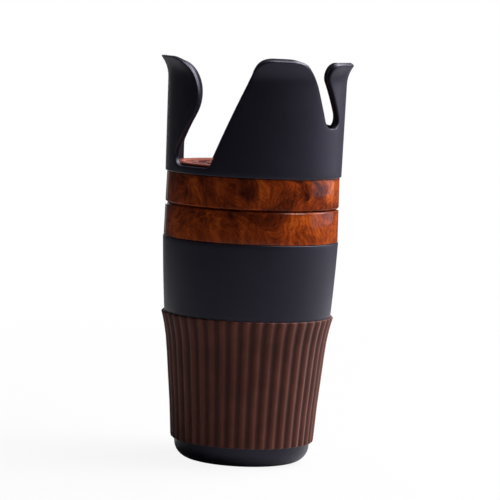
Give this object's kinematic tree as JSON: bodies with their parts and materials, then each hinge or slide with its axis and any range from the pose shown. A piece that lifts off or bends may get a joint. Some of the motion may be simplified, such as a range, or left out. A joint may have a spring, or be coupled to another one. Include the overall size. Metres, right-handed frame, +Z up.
{
  "type": "car cup holder",
  "caption": "Stacked swivelling car cup holder with a ribbed tapered base cup and an offset upper holder with four flared petals",
  "frame": {"origin": "centre of the base's underside", "axes": "+Z up through the stack, +X towards the pivot side, front towards -Y"},
  "size_m": [0.0938, 0.0926, 0.196],
  "materials": {
    "soft_touch_black": "soft-touch satin black",
    "brown_silicone": "matte brown silicone",
    "burl_gloss": "high-gloss burl wood look",
    "inner_black": "moulded matte black",
    "screw_steel": "zinc-plated steel",
    "bearing_plastic": "natural acetal",
    "insert_brass": "turned brass"
  },
  "bodies": {
    "lower": {"lower_cup": "soft_touch_black", "grip_sleeve": "brown_silicone", "lower_mat": "brown_silicone", "lower_trim_ring": "burl_gloss", "lower_rim": "inner_black", "rim_screw_1": "screw_steel", "rim_screw_2": "screw_steel", "rim_screw_3": "screw_steel", "pivot_bush": "bearing_plastic", "friction_washer": "bearing_plastic"},
    "upper": {"crown": "soft_touch_black", "crown_mat": "brown_silicone", "upper_trim_ring": "burl_gloss", "swing_base": "inner_black", "base_screw_1": "screw_steel", "base_screw_2": "screw_steel", "base_screw_3": "screw_steel", "pivot_screw": "screw_steel", "pivot_insert": "insert_brass", "flat_washer": "screw_steel", "spring_washer": "screw_steel"}
  },
  "joints": [
    {"name": "swivel", "type": "hinge", "parent": "lower", "child": "upper", "pos_m": [0.032, 0, 0.1244], "axis": [0, 0, 1], "continuous": true}
  ]
}
